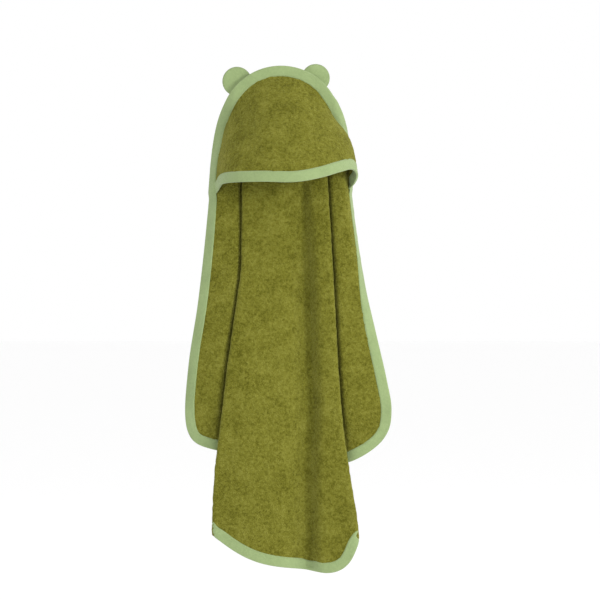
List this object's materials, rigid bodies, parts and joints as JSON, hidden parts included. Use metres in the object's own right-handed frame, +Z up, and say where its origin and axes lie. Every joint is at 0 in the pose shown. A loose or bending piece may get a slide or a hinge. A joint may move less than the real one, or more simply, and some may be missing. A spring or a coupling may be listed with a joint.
{
  "type": "hooded baby towel",
  "caption": "Square terry baby towel with rounded corners, a hood over one corner, bias tape edges and two round ears, hung by its loop.",
  "frame": {"origin": "the point of the hanging loop that rests on a hook, behind the hood's tip", "axes": "+Z up, the towel hangs along -Z; the front with the hood faces -Y; +X is to the right seen from the front"},
  "size_m": [0.3912, 0.1428, 0.964],
  "materials": {
    "terry": "matte",
    "bias_tape": "matte",
    "ear_cotton": "matte",
    "wadding": "matte",
    "thread": "satin",
    "label_satin": "satin"
  },
  "bodies": {
    "towel": {"towel_panel": "terry", "edge_binding": "bias_tape", "edge_binding_stitching": "thread"},
    "hood": {"hood_panel": "terry", "hood_binding": "bias_tape", "hood_binding_stitching": "thread"},
    "ear_left": {"ear_left_front": "ear_cotton", "ear_left_back": "ear_cotton", "ear_left_wadding": "wadding", "ear_left_stitching": "thread"},
    "ear_right": {"ear_right_front": "ear_cotton", "ear_right_back": "ear_cotton", "ear_right_wadding": "wadding", "ear_right_stitching": "thread"},
    "loop": {"hanging_loop": "bias_tape", "loop_bartacks": "thread"},
    "label": {"care_label": "label_satin", "label_stitching": "thread"}
  },
  "joints": [
    {"name": "hood_open", "type": "hinge", "parent": "towel", "child": "hood", "pos_m": [0, -0.0128, -0.0125], "axis": [-1, 0, 0], "range_deg": [0, 14]},
    {"name": "ear_left_bend", "type": "hinge", "parent": "towel", "child": "ear_left", "pos_m": [-0.08618, -0.0008, -0.02827], "axis": [0.6691, 0, 0.7431], "range_deg": [-55, 55], "stiffness_Nm_per_rad": 0.02},
    {"name": "ear_right_bend", "type": "hinge", "parent": "towel", "child": "ear_right", "pos_m": [0.06652, -0.0008, -0.01087], "axis": [0.8192, 0, -0.5736], "range_deg": [-55, 55], "stiffness_Nm_per_rad": 0.02},
    {"name": "loop_flop", "type": "hinge", "parent": "towel", "child": "loop", "pos_m": [0, 0, -0.026], "axis": [-1, 0, 0], "range_deg": [0, 170]},
    {"name": "label_swing", "type": "hinge", "parent": "towel", "child": "label", "pos_m": [0.031, -0.0033, -0.018], "axis": [1, 0, 0], "range_deg": [0, 75]}
  ]
}
